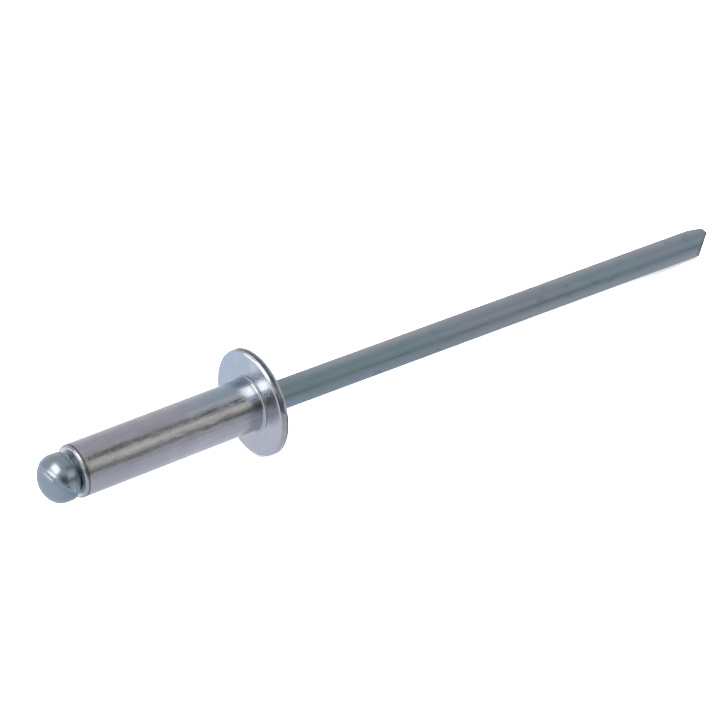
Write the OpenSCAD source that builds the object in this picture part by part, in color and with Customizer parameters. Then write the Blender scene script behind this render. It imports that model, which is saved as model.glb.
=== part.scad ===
// Open-end blind rivet with a domed flange, unset, lying at rest on its flange rim and the tip of its stem.
// Both pieces are built upright along the rivet's axis: the flange's bearing face is at z = 0, the blind end
// and the mandrel's head are below it, and the pull stem is above it. The mandrel hangs a little askew in its
// loose bore, and each piece is then laid down.

/* [Rivet body] */
// Outer diameter of the tube that goes through the work
body_d = 3.2; // [2.8:0.1:4]
// Length of the tube under the flange
body_len = 12.25; // [6:0.25:20]
// Diameter of the flange
flange_d = 6.6; // [5.8:0.1:9]
// Thickness of the flange at its edge
rim_t = 0.5; // [0.35:0.05:0.8]
// Rise of the dome above the flange's edge
dome_rise = 0.55; // [0.3:0.05:0.8]
// Fillet between the tube and the flange
root_fillet = 0.2; // [0.1:0.05:0.4]
// Rounding of the flange's edge on its bearing side
rim_round = 0.18; // [0.05:0.01:0.3]
// Rounding of the tube's blind end
end_round = 0.32; // [0.1:0.02:0.4]
// Chamfer at the bore's mouth in the dome
mouth_chamfer = 0.1; // [0.05:0.01:0.15]
// Length over which the blind end is closed in round the wire
lip_len = 0.35; // [0.2:0.05:0.6]

/* [Mandrel] */
// Diameter of the wire
stem_d = 1.8; // [1.4:0.05:2]
// Length of the stem past the bearing face, to the middle of its slanted cut
stem_out = 36.4; // [25:0.1:50]
// Largest diameter of the head
head_d = 2.9; // [2.6:0.05:3.1]
// Height of the head's crown above its widest circle
crown_h = 1.14; // [0.8:0.02:1.4]
// Length of the plain belt round the head, between its crown and its underside
belt_len = 0.35; // [0.1:0.05:0.6]
// Height of the head's underside, from its seat on the tube to the belt
underside_h = 0.5; // [0.3:0.05:0.8]
// Width of the flat ring with which the head sits on the tube
seat_w = 0.06; // [0.05:0.01:0.15]

/* [Fit in the bore] */
// Clearance between the stem and the bore, on each side
bore_gap = 0.23; // [0.08:0.01:0.25]
// Clearance between the wire and the closed-in blind end, on each side
lip_gap = 0.1; // [0.06:0.01:0.12]
// Clearance left where the mandrel lies in the bore: at its pinched ears and at the flange's mouth
grip_gap = 0.01; // [0.005:0.005:0.03]
// Turn of the mandrel's lean from straight down, to where the rivet lies without rolling
lean_turn = -4; // [-15:1:15]

/* [Break neck] */
// Distance from the head's seat to the middle of the neck
neck_from_seat = 1.8; // [1.4:0.1:3]
// Depth of the notch pinched into each side of the wire
neck_depth = 0.28; // [0.1:0.02:0.4]
// Opening angle of each notch
neck_angle = 80; // [60:5:100]
// Length of the ears that the pinch squeezes out beside the neck
ear_len = 0.9; // [0.4:0.1:1.6]
// Width of each ear
ear_w = 0.5; // [0.3:0.05:0.8]

/* [Tip] */
// Slant of the cut at the tip, away from a square end
cut_slant = 54; // [30:1:60]
// Turn of the cut's long side about the axis, up from the side of the rivet that faces away
cut_turn = 13; // [0:1:30]
// Slant of the flat that the cutter left beside the long side
nick_slant = 10; // [5:0.5:20]
// Turn of that flat about the axis
nick_turn = 53; // [40:1:80]
// How far back from the middle of the cut the flat starts
nick_len = 1.3; // [0.8:0.1:2.5]
// Slant of the facet that blunts the point, away from square
point_slant = 15; // [5:1:30]
// Turn of that facet about the axis
point_turn = 68; // [40:1:80]
// How far back from the middle of the cut that facet meets the side of the wire
point_back = 0.45; // [0.2:0.05:0.7]

/* [Hidden] */
$fn = 64;

body_r = body_d / 2;
flange_r = flange_d / 2;
stem_r = stem_d / 2;
head_r = head_d / 2;
bore_r = stem_r + bore_gap;
lip_r = stem_r + lip_gap;
seat_r = lip_r + seat_w;
head_top = rim_t + dome_rise;
// Circle through the flange's upper edge and the top of the dome
dome_r = (flange_r * flange_r + dome_rise * dome_rise) / (2 * dome_rise);
belt_z = -body_len - underside_h;
wide_z = belt_z - belt_len;
// Half height of the ellipse that runs from the belt in to the seat ring
underside_r = underside_h / sqrt(1 - pow(seat_r / head_r, 2));
neck_z = -body_len + neck_from_seat;
notch_w = 2 * neck_depth * tan(neck_angle / 2);
point_z = stem_out + stem_r * tan(cut_slant);
cutter = 6 * stem_d;
overlap = 0.1;

// Held at its ears, the mandrel leans until the stem meets the lower edge of the bore under the dome
stem_lean = atan((bore_gap - grip_gap) / (head_top - mouth_chamfer - neck_z));
// The askew head touches the tube with one side of its seat, so its middle stands back by this
seat_back = seat_r * tan(stem_lean) + neck_from_seat * (1 / cos(stem_lean) - 1);

// At rest the rivet lies on the upper edge of its rim and on the lowest point of the cut
tip_contact_z = stem_out - stem_r * tan(cut_slant) * sin(cut_turn);
lean_drop = (tip_contact_z - neck_z) * tan(stem_lean) * cos(lean_turn);
rest_tilt = atan((flange_r - stem_r - lean_drop) / (tip_contact_z - rim_t));

// Lays an upright piece down: stem towards +X, its tip lower than the flange
module laid_down() {
    rotate([0, rest_tilt, 0]) rotate([90, 0, 90]) children();
}

// Leans an upright piece about the middle of the neck, its upper end down and a little to one side
module hung_askew() {
    translate([0, 0, neck_z]) rotate([0, 0, -lean_turn]) rotate([stem_lean, 0, 0])
        rotate([0, 0, lean_turn]) translate([0, 0, -neck_z - seat_back]) children();
}

// A square corner's waste outside a quarter circle of radius r, with the corner at the origin
module corner_waste(r) {
    difference() {
        translate([-r, -overlap]) square([r + overlap, r + overlap]);
        translate([-r, r]) circle(r);
        translate([-r - overlap, r]) square([r + 3 * overlap, r + overlap]);
    }
}

// Half section of the body: tube, flange and dome, with the bore left open
module body_section() {
    difference() {
        union() {
            translate([bore_r, -body_len]) square([body_r - bore_r, body_len + rim_t]);
            translate([lip_r, -body_len]) square([body_r - lip_r, lip_len]);
            translate([bore_r, 0]) square([flange_r - bore_r, rim_t]);
            intersection() {
                translate([0, head_top - dome_r]) circle(dome_r);
                translate([bore_r, rim_t / 2]) square([flange_r - bore_r, head_top]);
            }
            root();
        }
        translate([flange_r, 0]) corner_waste(rim_round);
        translate([body_r, -body_len]) corner_waste(end_round);
        mouth();
    }
}

// Section of the fillet between the tube and the bearing face
module root() {
    difference() {
        translate([body_r - overlap, -root_fillet]) square([root_fillet + overlap, root_fillet + overlap]);
        translate([body_r + root_fillet, -root_fillet]) circle(root_fillet);
    }
}

// Section of the chamfer at the bore's mouth in the dome
module mouth() {
    polygon([
        [bore_r - overlap, head_top + overlap],
        [bore_r + mouth_chamfer + overlap, head_top + overlap],
        [bore_r - overlap, head_top - mouth_chamfer - overlap]
    ]);
}

// Half section of the mandrel's head: an elliptic crown, a plain belt and a rounded underside
module head_section() {
    intersection() {
        translate([0, wide_z]) scale([head_r, crown_h]) circle(1);
        translate([0, wide_z - crown_h]) square([head_r, crown_h]);
    }
    translate([0, wide_z]) square([head_r, belt_len]);
    intersection() {
        translate([0, belt_z]) scale([head_r, underside_r]) circle(1);
        translate([0, belt_z]) square([head_r, underside_h]);
    }
}

// V-shaped notch across one side of the wire
module neck_notch() {
    translate([0, -stem_r, neck_z]) rotate([90, 0, 90])
        linear_extrude(stem_d + 2 * overlap, center = true)
            polygon([[neck_depth, 0], [-overlap, notch_w], [-overlap, -notch_w]]);
}

// Material that the pinch pushes out at right angles to the notches, up to the wall of the bore
module neck_ears() {
    intersection() {
        translate([0, 0, neck_z - ear_len / 2]) cylinder(r = bore_r - grip_gap, h = ear_len);
        translate([0, 0, neck_z]) cube([2 * bore_r, ear_w, ear_len], center = true);
    }
}

// Everything past the slanted cut, the flat beside it and the facet on its point
module tip_waste() {
    rotate([0, 0, cut_turn]) translate([0, 0, stem_out]) rotate([0, -cut_slant, 0])
        translate([-cutter / 2, -cutter / 2, 0]) cube(cutter);
    rotate([0, 0, nick_turn]) translate([stem_r, 0, stem_out - nick_len]) rotate([0, 90 - nick_slant, 0])
        translate([-cutter / 2, -cutter / 2, 0]) cube(cutter);
    rotate([0, 0, point_turn]) translate([stem_r, 0, stem_out - point_back]) rotate([0, point_slant, 0])
        translate([-cutter / 2, -cutter / 2, 0]) cube(cutter);
}

module rivet_body() {
    color([0.74, 0.74, 0.77])
        laid_down()
            rotate_extrude() body_section();
}

module mandrel() {
    color([0.55, 0.59, 0.63])
        laid_down() hung_askew()
            difference() {
                union() {
                    rotate_extrude() head_section();
                    translate([0, 0, -body_len - overlap]) cylinder(r = stem_r, h = body_len + point_z);
                    neck_ears();
                }
                neck_notch();
                mirror([0, 1, 0]) neck_notch();
                tip_waste();
            }
}

rivet_body();
mandrel();
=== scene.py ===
from math import asin, atan, cos, degrees, pi, radians, sin, sqrt, tan

import bmesh
import bpy
import numpy as np
from mathutils import Matrix, Vector


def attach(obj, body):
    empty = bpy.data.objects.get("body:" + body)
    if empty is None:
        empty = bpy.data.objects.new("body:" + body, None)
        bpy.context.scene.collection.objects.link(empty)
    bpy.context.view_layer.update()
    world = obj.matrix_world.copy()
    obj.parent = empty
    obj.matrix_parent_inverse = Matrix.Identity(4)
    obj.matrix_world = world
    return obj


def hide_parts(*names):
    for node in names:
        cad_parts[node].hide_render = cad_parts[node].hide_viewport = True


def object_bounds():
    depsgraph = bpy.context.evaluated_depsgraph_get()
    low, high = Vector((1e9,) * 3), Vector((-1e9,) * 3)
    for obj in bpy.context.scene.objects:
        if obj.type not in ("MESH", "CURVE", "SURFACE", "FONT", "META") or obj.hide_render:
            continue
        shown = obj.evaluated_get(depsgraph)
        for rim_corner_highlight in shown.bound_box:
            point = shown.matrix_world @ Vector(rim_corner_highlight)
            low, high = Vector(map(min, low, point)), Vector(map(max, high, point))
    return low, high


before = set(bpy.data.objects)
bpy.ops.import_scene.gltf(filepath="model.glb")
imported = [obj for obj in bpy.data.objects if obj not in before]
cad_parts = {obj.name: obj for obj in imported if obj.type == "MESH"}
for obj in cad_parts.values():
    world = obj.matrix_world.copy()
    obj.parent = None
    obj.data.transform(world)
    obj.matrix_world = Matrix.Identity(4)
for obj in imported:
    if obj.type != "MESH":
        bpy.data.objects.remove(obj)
cad_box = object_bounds()

# The view: the rivet lies with its blind end to the left and towards the camera, seen a third of the way up
# through a long lens. The scene is in metres, and the sizes below are in millimetres.
MM = 0.001
VIEW_TURN = radians(-37.152)
VIEW_RISE = radians(34.488)
VIEW_OFFSET = Vector((-6.4959, -2.5562, -175.2233))

view_right = Vector((cos(VIEW_TURN), sin(VIEW_TURN), 0))
view_back = Vector((sin(VIEW_TURN) * cos(VIEW_RISE), -cos(VIEW_TURN) * cos(VIEW_RISE), sin(VIEW_RISE)))
view_up = view_back.cross(view_right)
view_axes = Matrix((view_right, view_up, view_back)).transposed()
camera = bpy.data.objects.new("view", bpy.data.cameras.new("view"))
bpy.context.scene.collection.objects.link(camera)
camera.data.lens = 150
camera.data.sensor_width = 36
camera.data.clip_start = 5 * MM
camera.matrix_world = Matrix.Translation(-(view_axes @ VIEW_OFFSET) * MM) @ view_axes.to_4x4()
bpy.context.scene.camera = camera


# The rivet body: one piece of soft aluminium wire, cold headed into a thin tube with a domed flange and
# bored right through. Its rolled skin keeps fine lengthwise marks, and the flange's bearing face was faced
# off. Everything is turned about its own axis, which dips a little towards the tip of the stem.
TUBE_R = 1.6
TUBE_LEN = 12.25
FLANGE_R = 3.299
RIM_T = 0.5
RIM_ROUND = 0.18
RIM_EDGE_DROP = 0.04
RIM_EDGE_IN = 0.03
DOME_RISE = 0.55
DOME_STEPS = 24
DOME_EDGE_ANGLE = 0.6
ROOT_FILLET = 0.2
ROOT_RING_R = 1.9
ROOT_RING_HALF_W = 0.03
ROOT_RING_H = 0.006
END_ROUND = 0.2
CREASE_HALF_W = 0.045
CREASE_DEPTH = 0.025
CREASE_FROM_END = END_ROUND + 0.02
STEM_R = 0.9
BORE_R = 1.13
MOUTH_CHAMFER = 0.1
LIP_R = 1.0
LIP_LEN = 0.35
LIP_EDGE = 0.04
LIP_EDGE_STEPS = 5
ARC_STEPS = 9
TURN_STEPS = 240
LONGEST_SIDE = 0.3
WELD = 1e-6
REST_DIP = radians(2.4168)
body_place = Matrix.Rotation(REST_DIP, 4, "Y")
blind_end_x = -TUBE_LEN
crease_x = blind_end_x + CREASE_FROM_END


def arc(centre, radius, start, end, steps=ARC_STEPS):
    """Points on an arc in the half section, as (along, out) pairs; the angles are degrees from the axis."""
    angles = np.radians(np.linspace(start, end, steps))
    return [(centre[0] + radius * cos(a), centre[1] + radius * sin(a)) for a in angles]


def evenly(a, b, step):
    """The points from a to b, both left out, at most a step apart."""
    count = int(np.hypot(b[0] - a[0], b[1] - a[1]) / step) + 1
    return [(a[0] + (b[0] - a[0]) * k / count, a[1] + (b[1] - a[1]) * k / count) for k in range(1, count)]


def close_set(corners, step=LONGEST_SIDE):
    """A half section with no side longer than a step."""
    section = []
    for a, b in zip(corners, corners[1:]):
        section += [a] + evenly(a, b, step)
    return section + [corners[-1]]


def turning_tree():
    """Geometry nodes that turn a half section, given as a chain of points, into a solid about the X axis."""
    tree = bpy.data.node_groups.new("turned_piece", "GeometryNodeTree")
    face = tree.interface
    face.new_socket("Half section", in_out="INPUT", socket_type="NodeSocketGeometry")
    for name, kind in (("Points", "Int"), ("Steps round", "Int"), ("Weld", "Float")):
        face.new_socket(name, in_out="INPUT", socket_type="NodeSocket" + kind)
    face.new_socket("Finish", in_out="INPUT", socket_type="NodeSocketMaterial")
    face.new_socket("Solid", in_out="OUTPUT", socket_type="NodeSocketGeometry")
    node, link = tree.nodes.new, tree.links.new

    def calc(kind, a, b=None):
        n = node("ShaderNodeMath")
        n.operation = kind
        for socket, value in zip(n.inputs, (a, b)):
            if isinstance(value, (int, float)):
                socket.default_value = value
            elif value is not None:
                link(value, socket)
        return n.outputs[0]

    # A grid with a row of points for each step round, of which the last falls on the first and is welded to it
    given = node("NodeGroupInput").outputs
    rounds = calc("ADD", given["Steps round"], 1)
    grid = node("GeometryNodeMeshGrid")
    link(rounds, grid.inputs["Vertices X"])
    link(given["Points"], grid.inputs["Vertices Y"])
    index = node("GeometryNodeInputIndex").outputs[0]
    turn = calc("FLOOR", calc("DIVIDE", calc("ADD", index, 0.5), given["Points"]))
    step = calc("SUBTRACT", index, calc("MULTIPLY", turn, given["Points"]))
    angle = calc("MULTIPLY", calc("DIVIDE", turn, given["Steps round"]), 2 * pi)
    # Each point of the grid goes to its point of the half section, swung round by its angle
    where = node("GeometryNodeInputPosition")
    sample = node("GeometryNodeSampleIndex")
    sample.data_type = "FLOAT_VECTOR"
    link(given["Half section"], sample.inputs["Geometry"])
    link(where.outputs[0], sample.inputs["Value"])
    link(step, sample.inputs["Index"])
    parts = node("ShaderNodeSeparateXYZ")
    link(sample.outputs[0], parts.inputs[0])
    place = node("ShaderNodeCombineXYZ")
    link(parts.outputs["X"], place.inputs["X"])
    link(calc("MULTIPLY", parts.outputs["Y"], calc("COSINE", angle)), place.inputs["Y"])
    link(calc("MULTIPLY", parts.outputs["Y"], calc("SINE", angle)), place.inputs["Z"])
    move = node("GeometryNodeSetPosition")
    link(grid.outputs["Mesh"], move.inputs["Geometry"])
    link(place.outputs[0], move.inputs["Position"])
    weld = node("GeometryNodeMergeByDistance")
    link(move.outputs[0], weld.inputs["Geometry"])
    link(given["Weld"], weld.inputs["Distance"])
    smooth = node("GeometryNodeSetShadeSmooth")
    link(weld.outputs[0], smooth.inputs["Geometry"])
    real = node("GeometryNodeRealizeInstances")
    link(smooth.outputs[0], real.inputs[0])
    paint = node("GeometryNodeSetMaterial")
    link(real.outputs[0], paint.inputs["Geometry"])
    link(given["Finish"], paint.inputs["Material"])
    link(paint.outputs[0], node("NodeGroupOutput").inputs["Solid"])
    return tree


turning = turning_tree()


def evaluated_mesh(piece):
    """The piece's mesh with its modifiers worked in, as a plain mesh."""
    bpy.context.view_layer.update()
    return bpy.data.meshes.new_from_object(piece.evaluated_get(bpy.context.evaluated_depsgraph_get()))


def turned(name, section, finish):
    """A plain mesh turned from a half section in millimetres, along +X, in metres."""
    chain = bpy.data.meshes.new(name)
    sides = [(i, i + 1) for i in range(len(section) - 1)]
    chain.from_pydata([(x * MM, r * MM, 0) for x, r in section], sides, [])
    piece = bpy.data.objects.new(name, chain)
    bpy.context.scene.collection.objects.link(piece)
    modifier = piece.modifiers.new("turning", "NODES")
    modifier.node_group = turning
    sockets = {s.name: s.identifier for s in turning.interface.items_tree if s.in_out == "INPUT"}
    modifier[sockets["Points"]] = len(section)
    modifier[sockets["Steps round"]] = TURN_STEPS
    modifier[sockets["Weld"]] = WELD
    modifier[sockets["Finish"]] = finish
    solid = evaluated_mesh(piece)
    piece.modifiers.clear()
    piece.data = solid
    solid.name = name
    return piece


def outward(mesh):
    """Points every face of a closed mesh outwards."""
    work = bmesh.new()
    work.from_mesh(mesh)
    bmesh.ops.recalc_face_normals(work, faces=work.faces)
    work.to_mesh(mesh)
    work.free()


class Finish:
    """A metal's node material in the making, with coordinates in millimetres along and about one piece's axis.

    Its masks are one where a mark is and nothing elsewhere. A turn of 90 degrees is the top of the piece as it
    lies, and 180 degrees is the side towards the viewer.
    """

    def __init__(self, name, place):
        self.material = bpy.data.materials.new(name)
        self.material.use_nodes = True
        self.tree = self.material.node_tree
        self.shader = self.tree.nodes["Principled BSDF"]
        self.shader.inputs["Metallic"].default_value = 1.0
        back = place.inverted()
        mapping = self.node("ShaderNodeMapping")
        mapping.inputs["Scale"].default_value = (1 / MM,) * 3
        mapping.inputs["Rotation"].default_value = back.to_euler()
        mapping.inputs["Location"].default_value = back.translation / MM
        self.link(self.node("ShaderNodeTexCoord").outputs["Object"], mapping.inputs["Vector"])
        self.at = mapping.outputs[0]
        parts = self.node("ShaderNodeSeparateXYZ")
        self.link(self.at, parts.inputs[0])
        self.x, self.y, self.z = parts.outputs
        self.out = self.math("SQRT", self.math("ADD", self.times(self.y, self.y), self.times(self.z, self.z)))
        self.turn = self.math("ARCTAN2", self.z, self.y)

    def node(self, kind):
        return self.tree.nodes.new(kind)

    def link(self, a, b):
        self.tree.links.new(a, b)

    def put(self, socket, value):
        if hasattr(value, "is_linked"):
            self.link(value, socket)
        else:
            socket.default_value = value

    def math(self, kind, a, b=0.0, c=0.0):
        n = self.node("ShaderNodeMath")
        n.operation = kind
        for socket, value in zip(n.inputs, (a, b, c)):
            self.put(socket, value)
        return n.outputs[0]

    def times(self, product, *others):
        for other in others:
            product = self.math("MULTIPLY", product, other)
        return product

    def add(self, *terms):
        """The sum of (weight, value) pairs."""
        total = 0.0
        for weight, value in terms:
            total = self.math("MULTIPLY_ADD", value, weight, total)
        return total

    def vector(self, x, y, z):
        n = self.node("ShaderNodeCombineXYZ")
        for socket, value in zip(n.inputs, (x, y, z)):
            self.put(socket, value)
        return n.outputs[0]

    def scaled(self, x, y, z, shift=0.0):
        """The millimetre coordinates stretched by three factors, then shifted to another part of the noise."""
        n = self.node("ShaderNodeMapping")
        self.link(self.at, n.inputs["Vector"])
        n.inputs["Scale"].default_value = (x, y, z)
        n.inputs["Location"].default_value = (shift, shift, shift)
        return n.outputs[0]

    def noise(self, vector, scale=1.0, detail=3.0, rough=0.55, warp=0.0):
        n = self.node("ShaderNodeTexNoise")
        self.link(vector, n.inputs["Vector"])
        n.inputs["Scale"].default_value = scale
        n.inputs["Detail"].default_value = detail
        n.inputs["Roughness"].default_value = rough
        n.inputs["Distortion"].default_value = warp
        return n.outputs["Fac"]

    def span(self, value, low, high, to_low=0.0, to_high=1.0):
        """Maps low..high to to_low..to_high, clamped, with soft ends."""
        n = self.node("ShaderNodeMapRange")
        n.interpolation_type = "SMOOTHSTEP"
        for socket, v in zip(list(n.inputs)[:5], (value, low, high, to_low, to_high)):
            self.put(socket, v)
        return n.outputs[0]

    def between(self, value, low, high, soft):
        """One from low to high, falling to nothing over the soft part outside them."""
        return self.times(self.span(value, low - soft, low), self.span(value, high + soft, high))

    def around(self, middle, half, soft):
        """One within half a width of a turn in degrees; the half width and the soft part are radians."""
        off = self.math("ABSOLUTE", self.math("SUBTRACT", self.turn, radians(middle)))
        return self.span(off, half + soft, half)

    def patch(self, turn, along=None, out=None):
        """One about a turn (middle, half, soft), and between the limits along and out (low, high, soft)."""
        mask = self.around(*turn)
        for value, limits in ((self.x, along), (self.out, out)):
            if limits:
                mask = self.times(mask, self.between(value, *limits))
        return mask

    def mix(self, factor, a, b):
        n = self.node("ShaderNodeMix")
        n.data_type = "RGBA"
        self.put(n.inputs["Factor"], factor)
        for socket, value in zip((n.inputs[6], n.inputs[7]), (a, b)):
            self.put(socket, (*value, 1.0) if isinstance(value, tuple) else value)
        return n.outputs[2]

    def laid_over(self, colour, marks):
        """A colour with marks laid over it in order, each a (mask, colour) pair."""
        for mask, mark_colour in marks:
            colour = self.mix(mask, colour, mark_colour)
        return colour

    def complete(self, colour, roughness, height, depth):
        """Joins the colour, the roughness and the relief, whose depth is in millimetres, to the metal."""
        self.link(colour, self.shader.inputs["Base Color"])
        self.link(roughness, self.shader.inputs["Roughness"])
        n = self.node("ShaderNodeBump")
        n.inputs["Distance"].default_value = depth * MM
        self.link(height, n.inputs["Height"])
        self.link(n.outputs[0], self.shader.inputs["Normal"])


skin = Finish("bright_aluminium", body_place)
along, out = skin.x, skin.out
# The two parts of the skin that were worked in different ways: the tube, and the flange's bearing face
on_tube = skin.times(skin.span(out, 1.72, 1.66), skin.span(along, -0.1, -0.3))
on_face = skin.times(skin.span(out, 1.7, 1.85), skin.span(along, 0.12, 0.02))

# Rolled skin: long hairlines, and here and there short nicks across them
hairlines = skin.noise(skin.scaled(0.35, 9, 9), detail=5.0, rough=0.65)
long_streaks = skin.noise(skin.scaled(0.12, 2.6, 2.6, 7), warp=0.3)
nicks = skin.noise(skin.scaled(6, 1.8, 1.8, 3), rough=0.7)
nicked = skin.span(skin.noise(skin.scaled(0.5, 0.8, 0.8, 6), detail=2.0), 0.42, 0.58, 0.3, 1.5)
grain = skin.noise(skin.scaled(1, 1, 1, 11), 14.0, detail=4.0)
cloud = skin.noise(skin.scaled(1, 1, 1, 5), 0.9, detail=2.0)
# Faced-off underside: rings about the tube, broken here and there by the cutter's chatter
rings = skin.noise(skin.vector(skin.times(out, 9.0), 0.0, skin.times(skin.turn, 0.6)), detail=5.0, rough=0.7)
chatter = skin.noise(skin.vector(skin.times(out, 2.0), skin.times(skin.turn, 5.0), 0.0), detail=4.0)

# The face: a painted highlight in one place, for the glint its turned rings catch from the lamp, and beside it
# scoring by the cutter, painted paler to lift a dark reflection, and chips with small dark pits and bright
# flecks
face_highlight = skin.patch(turn=(113, 0.12, 0.35), out=(2.3, 2.75, 0.35))
scored_and_lifted = skin.times(skin.patch(turn=(149, 0.12, 0.14)), skin.span(rings, 0.42, 0.58))
fine_marks = skin.noise(skin.scaled(1, 1, 1, 17), 5.0, rough=0.7)
chipped = skin.patch(turn=(145, 0.17, 0.09), out=(2.15, 2.9, 0.1))
pitted = skin.times(chipped, skin.span(fine_marks, 0.5, 0.42))
flecked = skin.times(chipped, skin.span(fine_marks, 0.54, 0.62))
# The root of the tube: a fillet painted darker as painted shade, a fine turned line in the face, a spot painted
# lighter to lift the flange's dark reflection, and a painted highlight
root_line = skin.times(on_face, skin.patch(turn=(150, 0.85, 0.4), out=(1.87, 1.89, 0.02)))
shaded_fillet = skin.times(skin.patch(turn=(102, 0.5, 0.3), out=(1.62, 1.78, 0.015)), skin.span(along, 0.12, 0.02))
lifted_reflection_spot = skin.patch(turn=(138, 0.08, 0.12), along=(-0.8, -0.25, 0.3))
tube_highlight_spot = skin.patch(turn=(112, 0.1, 0.3), along=(-0.8, -0.3, 0.45))
# The rim: a painted highlight on the corner towards the work, a dark side whose scuffs are real and whose
# darkness is a painted reflection, and an edge under the dome with a painted highlight above and painted shade
# below
rim_corner_highlight = skin.times(skin.patch(turn=(102, 0.24, 0.25), along=(0.012, 0.13, 0.02)), skin.span(out, 3.02, 3.1))
on_rim = skin.span(out, 3.2, 3.28)
scuffed_dark_reflection = skin.times(skin.patch(turn=(92, 1.21, 0.06), along=(0.17, 0.3, 0.05)), on_rim,
                     skin.span(nicks, 0.3, 0.65, 0.55, 1.0))
at_edge = skin.times(skin.between(along, 0.4, 0.56, 0.03), skin.span(out, 3.0, 3.1))
upper_rim = skin.patch(turn=(92, 1.22, 0.08))
edge_highlight = skin.times(at_edge, upper_rim)
edge_shade = skin.times(at_edge, skin.math("SUBTRACT", 1.0, upper_rim))
# The blind end: painted shade in the crease behind its rounding, and a painted highlight on the end face
shaded_crease = skin.times(skin.between(along, crease_x - 0.04, crease_x + 0.04, 0.03), skin.span(out, 1.5, 1.55))
lit_end_face = skin.times(skin.span(along, blind_end_x + 0.08, blind_end_x + 0.02), skin.span(out, 1.5, 1.4))
# The tube: a warmer track along it where the feeder's rail rubbed it, partly a painted warm reflection that is
# painted darker near the flange; along its upper edge a painted dark reflection near the blind end and painted
# light near the flange, lifting a dark reflected line; painted shade below, and a painted bluish reflection on
# the top near the flange
track_and_sheen = skin.times(skin.patch(turn=(139, 0.27, 0.1)), on_tube, 0.85)
track_and_sheen_colour = skin.mix(skin.span(along, -5.0, -3.5), (0.48, 0.472, 0.46), (0.415, 0.408, 0.4))
track_edge_shade = skin.times(skin.patch(turn=(127, 0.05, 0.07)), skin.span(along, -5.0, -9.0),
                        skin.span(nicks, 0.3, 0.6, 0.3, 1.0))
lifted_dark_line = skin.times(skin.patch(turn=(121, 0.12, 0.1), along=(-4.4, -0.5, 0.8)), 0.7)
shaded_below = skin.times(skin.span(skin.z, 0.6, 0.0), skin.span(along, -4.0, -10.0))
blue_reflection = skin.times(skin.patch(turn=(60, 1.0, 0.35)), skin.span(along, -6.0, -1.2))
shade = skin.span(skin.add((0.35, cloud), (0.3, long_streaks), (0.35, hairlines)), 0.36, 0.64)

skin_colour = skin.laid_over(skin.mix(shade, (0.43, 0.43, 0.475), (0.51, 0.51, 0.55)), (
    (track_and_sheen, track_and_sheen_colour),
    (track_edge_shade, (0.36, 0.35, 0.335)),
    (shaded_below, (0.39, 0.39, 0.425)),
    (blue_reflection, skin.mix(shade, (0.36, 0.44, 0.52), (0.43, 0.515, 0.6))),
    (lifted_dark_line, (0.58, 0.6, 0.63)),
    (skin.times(on_face, 0.3), (0.66, 0.7, 0.76)),
    (skin.times(on_face, scored_and_lifted), (0.56, 0.6, 0.66)),
    (skin.times(on_face, face_highlight), (0.74, 0.75, 0.77)),
    (skin.times(on_face, pitted), (0.3, 0.33, 0.37)),
    (skin.times(on_face, flecked), (0.85, 0.87, 0.9)),
    (shaded_fillet, (0.33, 0.35, 0.38)),
    (rim_corner_highlight, (0.92, 0.93, 0.95)),
    (scuffed_dark_reflection, (0.115, 0.125, 0.145)),
    (edge_highlight, (0.62, 0.63, 0.64)),
    (edge_shade, (0.17, 0.185, 0.2)),
    (lifted_reflection_spot, (0.66, 0.71, 0.8)),
    (root_line, (0.24, 0.25, 0.27)),
    (tube_highlight_spot, (0.58, 0.6, 0.62)),
    (shaded_crease, (0.17, 0.17, 0.185)),
    (lit_end_face, (0.75, 0.76, 0.8)),
))
skin_roughness = skin.add((1.0, skin.span(hairlines, 0.3, 0.75, 0.11, 0.23)),
                          (0.08, skin.times(on_face, rings)), (0.15, scuffed_dark_reflection), (0.05, grain))
tube_height = skin.add((0.55, hairlines), (0.15, long_streaks), (0.8, skin.times(nicks, nicked)), (0.06, grain))
face_height = skin.add((0.9, rings), (0.12, chatter), (0.03, grain))
skin_height = skin.add((1.0, skin.times(on_tube, tube_height)), (1.0, skin.times(on_face, face_height)),
                       (0.08, grain))
skin.complete(skin_colour, skin_roughness, skin_height, depth=0.02)

# The half section, from the blind end's inner edge round the outside and back through the bore
dome_r = (FLANGE_R ** 2 + DOME_RISE ** 2) / (2 * DOME_RISE)
dome_top = RIM_T + DOME_RISE
dome_start = degrees(asin(FLANGE_R / dome_r)) - DOME_EDGE_ANGLE
dome_end = degrees(asin((BORE_R + MOUTH_CHAMFER) / dome_r))
body_corners = (
    [(blind_end_x, LIP_R + LIP_EDGE)]
    + arc((blind_end_x + END_ROUND, TUBE_R - END_ROUND), END_ROUND, 180, 90)
    + [(crease_x - CREASE_HALF_W, TUBE_R), (crease_x, TUBE_R - CREASE_DEPTH)]
    + [(crease_x + CREASE_HALF_W, TUBE_R)]
    + arc((-ROOT_FILLET, TUBE_R + ROOT_FILLET), ROOT_FILLET, 270, 360)
    + [(0, ROOT_RING_R - ROOT_RING_HALF_W), (-ROOT_RING_H, ROOT_RING_R), (0, ROOT_RING_R + ROOT_RING_HALF_W)]
    + arc((RIM_ROUND, FLANGE_R - RIM_ROUND), RIM_ROUND, 180, 90)
    + [(RIM_T - RIM_EDGE_DROP, FLANGE_R), (RIM_T, FLANGE_R - RIM_EDGE_IN)]
    + arc((dome_top - dome_r, 0), dome_r, dome_start, dome_end, DOME_STEPS)
    + [(dome_top - MOUTH_CHAMFER, BORE_R), (blind_end_x + LIP_LEN, BORE_R), (blind_end_x + LIP_LEN, LIP_R)]
    + arc((blind_end_x + LIP_EDGE, LIP_R + LIP_EDGE), LIP_EDGE, 270, 180, LIP_EDGE_STEPS)
)
rivet_body = turned("rivet_shell", close_set(body_corners), skin.material)
outward(rivet_body.data)
rivet_body.data.transform(body_place)
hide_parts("rivet_body")
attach(rivet_body, "root")


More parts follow.
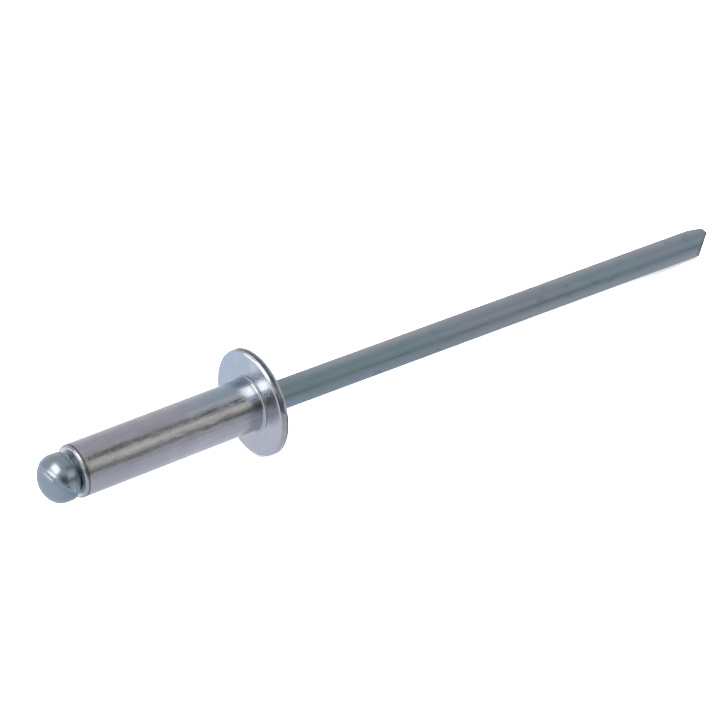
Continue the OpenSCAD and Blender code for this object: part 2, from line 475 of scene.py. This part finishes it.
# The mandrel: zinc-plated steel wire with a ball head upset on it, the break neck pinched just above the
# head, and a slanted, dented end where it was sheared off. It hangs a little askew in the body's bore, held
# by the ears that the pinch squeezed out. The head was upset a little off the wire's middle, too low.
HEAD_R = 1.45
HEAD_DROP = 0.12
CROWN_H = 1.131
CROWN_STEPS = 80
BELT_LEN = 0.35
UNDERSIDE_H = 0.5
UNDERSIDE_STEPS = 26
SEAT_R = 1.06
STEM_OUT = 36.4
SPARE_WIRE = 1.4
GRIP_GAP = 0.01
NECK_FROM_SEAT = 1.8
NECK_DEPTH = 0.28
NECK_HALF_ANGLE = radians(40)
NECK_STEPS = 13
EAR_LEN = 0.9
EAR_W = 0.5
EAR_SIDE = 0.02
CUT_TURN = 13
CUT_SLANT = 54
FLAT_TURN = 53
FLAT_SLANT = 80
FLAT_LEN = 1.3
POINT_TURN = 68
POINT_SLANT = 15
POINT_BACK = 0.45
SOFT_EDGE = 0.03
SOFT_FROM_ANGLE = radians(28)
LEAN_TURN = radians(-4)
neck_x = blind_end_x + NECK_FROM_SEAT
lean = atan((BORE_R - STEM_R - GRIP_GAP) / (dome_top - MOUTH_CHAMFER - neck_x))
seat_back = SEAT_R * tan(lean) + NECK_FROM_SEAT * (1 / cos(lean) - 1)
mandrel_place = (
    body_place
    @ Matrix.Translation((neck_x * MM, 0, 0))
    @ Matrix.Rotation(-LEAN_TURN, 4, "X")
    @ Matrix.Rotation(lean, 4, "Y")
    @ Matrix.Rotation(LEAN_TURN, 4, "X")
    @ Matrix.Translation((-(neck_x + seat_back) * MM, 0, 0))
)


def cut_plane(turn, slant, meets):
    """A cut across the wire, as the way that it faces and a point on it, in millimetres.

    The turn about the axis says which side of the wire it meets at the given place along it. The slant is from
    a square end, both in degrees, and is negative where that side is the wire's long one.
    """
    side = Vector((0, cos(radians(turn)), sin(radians(turn))))
    faces = Vector((cos(radians(slant)), 0, 0)) + side * sin(radians(slant))
    return faces, Vector((meets, 0, 0)) + side * STEM_R


shear_cut = cut_plane(CUT_TURN, -CUT_SLANT, STEM_OUT + STEM_R * tan(radians(CUT_SLANT)))
side_flat = cut_plane(FLAT_TURN, FLAT_SLANT, STEM_OUT - FLAT_LEN)
point_facet = cut_plane(POINT_TURN, POINT_SLANT, STEM_OUT - POINT_BACK)

# The plane of the flash line that the heading dies left across the crown: through the middle of the head and
# two points of the lying rivet
FLASH_FROM = Vector((-13.97, 0.0, 1.52))
FLASH_TO = Vector((-13.6, -1.23, 1.04))
belt_x = blind_end_x - UNDERSIDE_H
wide_x = belt_x - BELT_LEN
head_centre = Vector((wide_x, 0, 0))
to_piece = mandrel_place.inverted()
flash_from = to_piece @ (FLASH_FROM * MM) / MM - head_centre
flash_to = to_piece @ (FLASH_TO * MM) / MM - head_centre
flash_plane = flash_from.cross(flash_to).normalized(), head_centre

steel = Finish("zinc_plated_steel", mandrel_place)
drawn = steel.noise(steel.scaled(0.25, 7, 7), detail=4.0, rough=0.6)
mottle = steel.noise(steel.scaled(0.5, 1, 1, 4), 1.1, warp=0.5)
tint = steel.noise(steel.scaled(0.35, 1, 1, 9), 0.8, detail=2.0)
frost = steel.noise(steel.scaled(1, 1, 1, 2), 16.0, detail=4.0)
on_ball = steel.span(steel.x, blind_end_x + 0.1, blind_end_x - 0.1)

# Painted light along the top, broken by the drawing marks; patches where the plating took thinner and greyer;
# small dull blots
top_sheen = steel.times(steel.patch(turn=(70, 0.35, 0.4)), steel.span(drawn, 0.3, 0.6, 0.4, 1.0))
patches = steel.span(steel.noise(steel.scaled(0.22, 0.9, 0.9, 21)), 0.5, 0.62, 0.0, 0.7)
blots = steel.span(steel.noise(steel.scaled(0.9, 1.5, 1.5, 33), detail=4.0, rough=0.65), 0.57, 0.69, 0.0, 0.45)
# Paler underneath towards the tip: painted light standing in for the bright table's reflection
underside_sheen = steel.times(steel.span(steel.z, 0.25, -0.2), steel.span(steel.x, 8.0, 24.0, 0.0, 0.8))
# Greener and a little darker beside the flange: painted shade of the flange, in a band on the side towards the
# viewer and all round close to it
flange_shade_band = steel.times(steel.patch(turn=(131, 0.28, 0.2)), steel.span(steel.x, 16.0, 10.0, 0.0, 0.8))
flange_shade = steel.span(steel.x, 8.0, 3.0, 0.0, 0.5)
# A line that the drawing die left along the wire
die_line = steel.times(steel.patch(turn=(158, 0.03, 0.11)),
                       steel.span(steel.noise(steel.scaled(0.3, 3, 3, 8)), 0.35, 0.6, 0.2, 0.6))


def past(cut):
    """How far the steel stands out past a cut's plane, in millimetres."""
    faces, point = cut
    return steel.add((faces.x, steel.x), (faces.y, steel.y), (faces.z, steel.z), (-faces.dot(point), 1.0))


# The shears broke the plating: bare dark metal along the slanted cut and on the facet at the point
sheared = steel.math("MAXIMUM", steel.span(past(shear_cut), -0.16, -0.03),
                     steel.span(past(point_facet), -0.12, -0.03))
sheared = steel.times(sheared, steel.span(frost, 0.3, 0.7, 0.6, 1.0))
plating = steel.mix(steel.span(tint, 0.38, 0.62), (0.29, 0.395, 0.43), (0.325, 0.385, 0.48))
plating = steel.laid_over(plating, (
    (steel.span(mottle, 0.3, 0.7, 0.0, 0.6), (0.36, 0.44, 0.485)),
    (top_sheen, (0.46, 0.475, 0.5)),
    (patches, (0.375, 0.395, 0.435)),
    (blots, (0.21, 0.28, 0.32)),
    (underside_sheen, (0.46, 0.52, 0.58)),
    (flange_shade_band, (0.265, 0.375, 0.39)),
    (flange_shade, (0.26, 0.355, 0.385)),
    (die_line, (0.2, 0.275, 0.305)),
    (sheared, (0.19, 0.22, 0.25)),
))
# The head's underside keeps the rings of the die that it was struck in, painted dark and greenish: painted
# shade where it faces the tube's end
die_rings = steel.noise(steel.vector(steel.times(steel.x, 9.0), 0.0, steel.times(steel.turn, 0.5)))
ringed_and_shaded = steel.times(steel.between(steel.x, blind_end_x - 0.52, blind_end_x - 0.2, 0.08),
                     steel.span(die_rings, 0.35, 0.6))
ball = steel.mix(steel.span(mottle, 0.3, 0.7), (0.34, 0.41, 0.45), (0.37, 0.42, 0.48))
# Past the flash line, on the pole's side, painted shade darkens the head, most of all towards the tube
past_flash_shade = steel.times(steel.span(past(flash_plane), 0.04, -0.1),
                         steel.span(steel.x, -14.1, -12.8, 0.3, 1.0))
ball = steel.laid_over(ball, ((past_flash_shade, (0.2, 0.255, 0.305)), (ringed_and_shaded, (0.2, 0.265, 0.255))))
steel_roughness = steel.add((1.0, steel.span(mottle, 0.3, 0.7, 0.42, 0.52)), (0.06, frost), (-0.24, on_ball))
steel_height = steel.add((0.5, drawn), (0.35, mottle), (0.2, frost), (0.6, steel.times(ringed_and_shaded, die_rings)))
steel.complete(steel.mix(on_ball, plating, ball), steel_roughness, steel_height, depth=0.014)

# The half section, from the crown's pole to the far end of the wire, with close stations at the neck
underside_r = UNDERSIDE_H / sqrt(1 - (SEAT_R / HEAD_R) ** 2)
seat_angle = asin(UNDERSIDE_H / underside_r)
crown_turns = np.radians(np.linspace(90, 0, CROWN_STEPS))
underside_turns = np.linspace(0, seat_angle, UNDERSIDE_STEPS)
head_arc = [(wide_x - CROWN_H * sin(a), HEAD_R * cos(a)) for a in crown_turns]
head_arc[0] = (head_arc[0][0], 0.0)
head_arc += [(belt_x + underside_r * sin(a), HEAD_R * cos(a)) for a in underside_turns]
notch_half = NECK_DEPTH * tan(NECK_HALF_ANGLE)
neck_stations = sorted(
    [neck_x + s for s in np.linspace(-notch_half, notch_half, NECK_STEPS)]
    + [neck_x + s * EAR_LEN / 2 + d for s in (-1, 1) for d in (-EAR_SIDE, 0.0)]
)
wire_end_x = STEM_OUT + SPARE_WIRE
wire_line = [(blind_end_x, STEM_R)] + [(x, STEM_R) for x in neck_stations] + [(wire_end_x, STEM_R)]
mandrel_section = close_set(head_arc + wire_line) + [(wire_end_x, STEM_R / 2), (wire_end_x, 0.0)]
mandrel = turned("pull_mandrel", mandrel_section, steel.material)

points = np.empty(len(mandrel.data.vertices) * 3)
mandrel.data.vertices.foreach_get("co", points)
points = points.reshape(-1, 3) / MM
x, y, z = points.T.copy()
# The pinch: a notch from above and one from below, and the ears that it squeezed out to the sides
WIRE_FROM_END = 0.05
EAR_END_CLEAR = 0.001
EAR_FROM_MIDDLE = 0.5
on_wire = x > blind_end_x + WIRE_FROM_END
notch_z = np.maximum(STEM_R - NECK_DEPTH + np.abs(x - neck_x) / tan(NECK_HALF_ANGLE), 0)
z = np.where(on_wire, np.clip(z, -notch_z, notch_z), z)
on_ear = on_wire & (np.abs(x - neck_x) < EAR_LEN / 2 - EAR_END_CLEAR)
on_ear &= (np.abs(z) < EAR_W / 2) & (np.abs(y) > EAR_FROM_MIDDLE)
ear_reach = np.sqrt(np.maximum((BORE_R - GRIP_GAP) ** 2 - z ** 2, 0))
y = np.where(on_ear, np.sign(y) * ear_reach, y)
# The head, lowered over the first hundredths of a millimetre past the tube's end
DROP_OVER = 0.02
z = z - HEAD_DROP * np.clip((blind_end_x - x) / DROP_OVER, 0, 1)
points = np.stack([x, y, z], 1)

# The flash is a fine ridge, which fades out round the far side and towards the belt
FLASH_W = 0.07
FLASH_H = 0.045
FLASH_FADE_ROUND = 0.4
FLASH_END_X = wide_x + 0.2
FLASH_FADE_ALONG = 0.08
SMALLEST_REACH = 0.2
LARGEST_REACH = 1.6
across = np.array(flash_plane[0])
from_centre = points - np.array(head_centre)
reach = np.linalg.norm(from_centre, axis=1)
near_line = np.exp(-((from_centre @ across) / FLASH_W) ** 2)
near_side = 1 / (1 + np.exp(-(from_centre @ np.array(flash_from + flash_to)) / FLASH_FADE_ROUND))
on_head = 1 / (1 + np.exp((points[:, 0] - FLASH_END_X) / FLASH_FADE_ALONG))
lift = FLASH_H * near_line * near_side * on_head / np.maximum(reach, SMALLEST_REACH)
points += from_centre * (lift * (reach < LARGEST_REACH))[:, None]
mandrel.data.vertices.foreach_set("co", (points * MM).ravel())

# The sheared end: the slanted cut, the cutter's flat beside its long side, and the facet that blunts the point
work = bmesh.new()
work.from_mesh(mandrel.data)
for faces, point in (shear_cut, side_flat, point_facet):
    everything = work.verts[:] + work.edges[:] + work.faces[:]
    found = bmesh.ops.bisect_plane(work, geom=everything, dist=1e-8, plane_co=point * MM, plane_no=faces,
                                   clear_outer=True)
    cut_edges = [e for e in found["geom_cut"] if isinstance(e, bmesh.types.BMEdge)]
    bmesh.ops.contextual_create(work, geom=cut_edges)
work.to_mesh(mandrel.data)
work.free()
outward(mandrel.data)
soften = mandrel.modifiers.new("soft_edges", "BEVEL")
soften.limit_method = "ANGLE"
soften.angle_limit = SOFT_FROM_ANGLE
soften.width = SOFT_EDGE * MM
soften.segments = 2
softened = evaluated_mesh(mandrel)
mandrel.modifiers.clear()
mandrel.data = softened
mandrel.data.transform(mandrel_place)
for polygon in mandrel.data.polygons:
    polygon.use_smooth = True
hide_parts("mandrel")
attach(mandrel, "root")


# The table: a sheet of pale matt board under the rivet, wide enough that a view from above never sees its
# edge. The rivet lies on it.
FLOOR_HALF = 1.5


def sheet(name, half_wide, half_high, height=0.0):
    """One flat rectangle about its own middle, in metres."""
    mesh = bpy.data.meshes.new(name)
    corners = ((-1, -1), (1, -1), (1, 1), (-1, 1))
    mesh.from_pydata([(sx * half_wide, sy * half_high, height) for sx, sy in corners], [], [(0, 1, 2, 3)])
    piece = bpy.data.objects.new(name, mesh)
    bpy.context.scene.collection.objects.link(piece)
    return piece


floor = sheet("floor", FLOOR_HALF, FLOOR_HALF, height=cad_box[0][2])
board = bpy.data.materials.new("pale_board")
board.use_nodes = True
board_shader = board.node_tree.nodes["Principled BSDF"]
board_shader.inputs["Base Color"].default_value = (0.9, 0.9, 0.91, 1)
board_shader.inputs["Roughness"].default_value = 0.9
board_shader.inputs["Specular IOR Level"].default_value = 0.1
# The board also glows a little, so that the rivet's shadow on it stays faint
board_shader.inputs["Emission Color"].default_value = (1, 1, 1, 1)
board_shader.inputs["Emission Strength"].default_value = 0.2
floor.data.materials.append(board)
floor.visible_glossy = False


# The light: a soft even room, a warm softbox in front, a low bright wall behind, dull screens between them
# that give the metal its bands, and a lamp on the head's side whose glint sits on the mandrel's head.
LIGHT_DISTANCE = 0.6
SCREEN_DISTANCE = 0.57
WARM_GREY = (1, 0.93, 0.74)


def facing_rivet(rise, turn, distance):
    """The place and turn of a flat thing that faces the rivet from a height and a bearing in degrees."""
    rise, turn = radians(rise), radians(turn)
    away = Vector((cos(rise) * cos(turn), cos(rise) * sin(turn), sin(rise)))
    return Matrix.Translation(away * distance) @ away.to_track_quat("Z", "Y").to_matrix().to_4x4()


def half_size(angle):
    """Half the size of a thing that spans an angle in degrees, seen from the rivet."""
    return LIGHT_DISTANCE * tan(radians(angle / 2))


def lit_from(name, rise, turn, high, wide, brightness, colour=(1, 1, 1), mirrored=True):
    """A soft light of even brightness that spans high by wide degrees, seen from the rivet."""
    data = bpy.data.lights.new(name, "AREA")
    data.shape = "RECTANGLE"
    data.size = 2 * half_size(wide)
    data.size_y = 2 * half_size(high)
    data.energy = brightness * pi * data.size * data.size_y
    data.color = colour
    light = bpy.data.objects.new(name, data)
    bpy.context.scene.collection.objects.link(light)
    light.matrix_world = facing_rivet(rise, turn, LIGHT_DISTANCE)
    light.visible_glossy = mirrored
    light.visible_camera = False


def glow(name):
    """A glowing material, and its glow's node."""
    material = bpy.data.materials.new(name)
    material.use_nodes = True
    nodes = material.node_tree.nodes
    nodes.clear()
    shine = nodes.new("ShaderNodeEmission")
    end = nodes.new("ShaderNodeOutputMaterial")
    material.node_tree.links.new(shine.outputs[0], end.inputs["Surface"])
    return material, shine


def seen_in_metal_only(piece):
    """Leaves a piece of the set out of the view, the table's light and the shadows."""
    piece.visible_camera = False
    piece.visible_diffuse = False
    piece.visible_shadow = False


def screen(name, rise, turn, high, wide, brightness, colour=(1, 1, 1)):
    """A dull or bright screen that the metal mirrors."""
    card = sheet(name, half_size(wide), half_size(high))
    paint, shine = glow(name)
    shine.inputs["Color"].default_value = (*colour, 1)
    shine.inputs["Strength"].default_value = brightness
    card.data.materials.append(paint)
    card.matrix_world = facing_rivet(rise, turn, SCREEN_DISTANCE)
    seen_in_metal_only(card)


world = bpy.data.worlds.new("room")
bpy.context.scene.world = world
world.use_nodes = True
world.node_tree.nodes["Background"].inputs["Color"].default_value = (0.56, 0.57, 0.6, 1)
lit_from("warm_softbox", 31, -49, 14, 30, 0.42, (1, 0.95, 0.8))
lit_from("head_lamp", 57, 176, 40, 40, 2.4, (1, 0.97, 0.95))
lit_from("overhead", 85, 90, 120, 120, 4.5, mirrored=False)
screen("upper_screen", 50, -29, 14, 17, 0.045, WARM_GREY)
screen("low_screen", 9, -57, 9, 50, 0.09)
screen("dark_corner", 16, -108, 44, 46, 0.13, WARM_GREY)
screen("bright_wall", 14, 58, 22, 80, 0.75)
screen("white_strip", 9, 155, 7, 56, 3.2)

# The metal sees the table grey in front, where it is far from the lamps, and bright behind
GREY_FRONT = (0.56, 0.57, 0.59, 1)
BRIGHT_BACK = (0.84, 0.87, 0.96, 1)
BACK_BEARING = radians(127)
GREY_UP_TO = -15 * MM
BRIGHT_FROM = 6 * MM
table_glow = floor.copy()
table_glow.name = "table_in_the_metal"
table_glow.data = floor.data.copy()
bpy.context.scene.collection.objects.link(table_glow)
table_paint, table_shine = glow("table_in_the_metal")
nodes, links = table_paint.node_tree.nodes, table_paint.node_tree.links
towards_back = nodes.new("ShaderNodeVectorMath")
towards_back.operation = "DOT_PRODUCT"
towards_back.inputs[1].default_value = (cos(BACK_BEARING), sin(BACK_BEARING), 0)
ramp = nodes.new("ShaderNodeMapRange")
ramp.interpolation_type = "SMOOTHSTEP"
ramp.inputs["From Min"].default_value = GREY_UP_TO
ramp.inputs["From Max"].default_value = BRIGHT_FROM
blend = nodes.new("ShaderNodeMix")
blend.data_type = "RGBA"
blend.inputs[6].default_value = GREY_FRONT
blend.inputs[7].default_value = BRIGHT_BACK
links.new(nodes.new("ShaderNodeTexCoord").outputs["Object"], towards_back.inputs[0])
links.new(towards_back.outputs["Value"], ramp.inputs["Value"])
links.new(ramp.outputs[0], blend.inputs["Factor"])
links.new(blend.outputs[2], table_shine.inputs["Color"])
table_glow.data.materials[0] = table_paint
table_glow.visible_glossy = True
seen_in_metal_only(table_glow)
bpy.context.scene.view_settings.view_transform = "Standard"
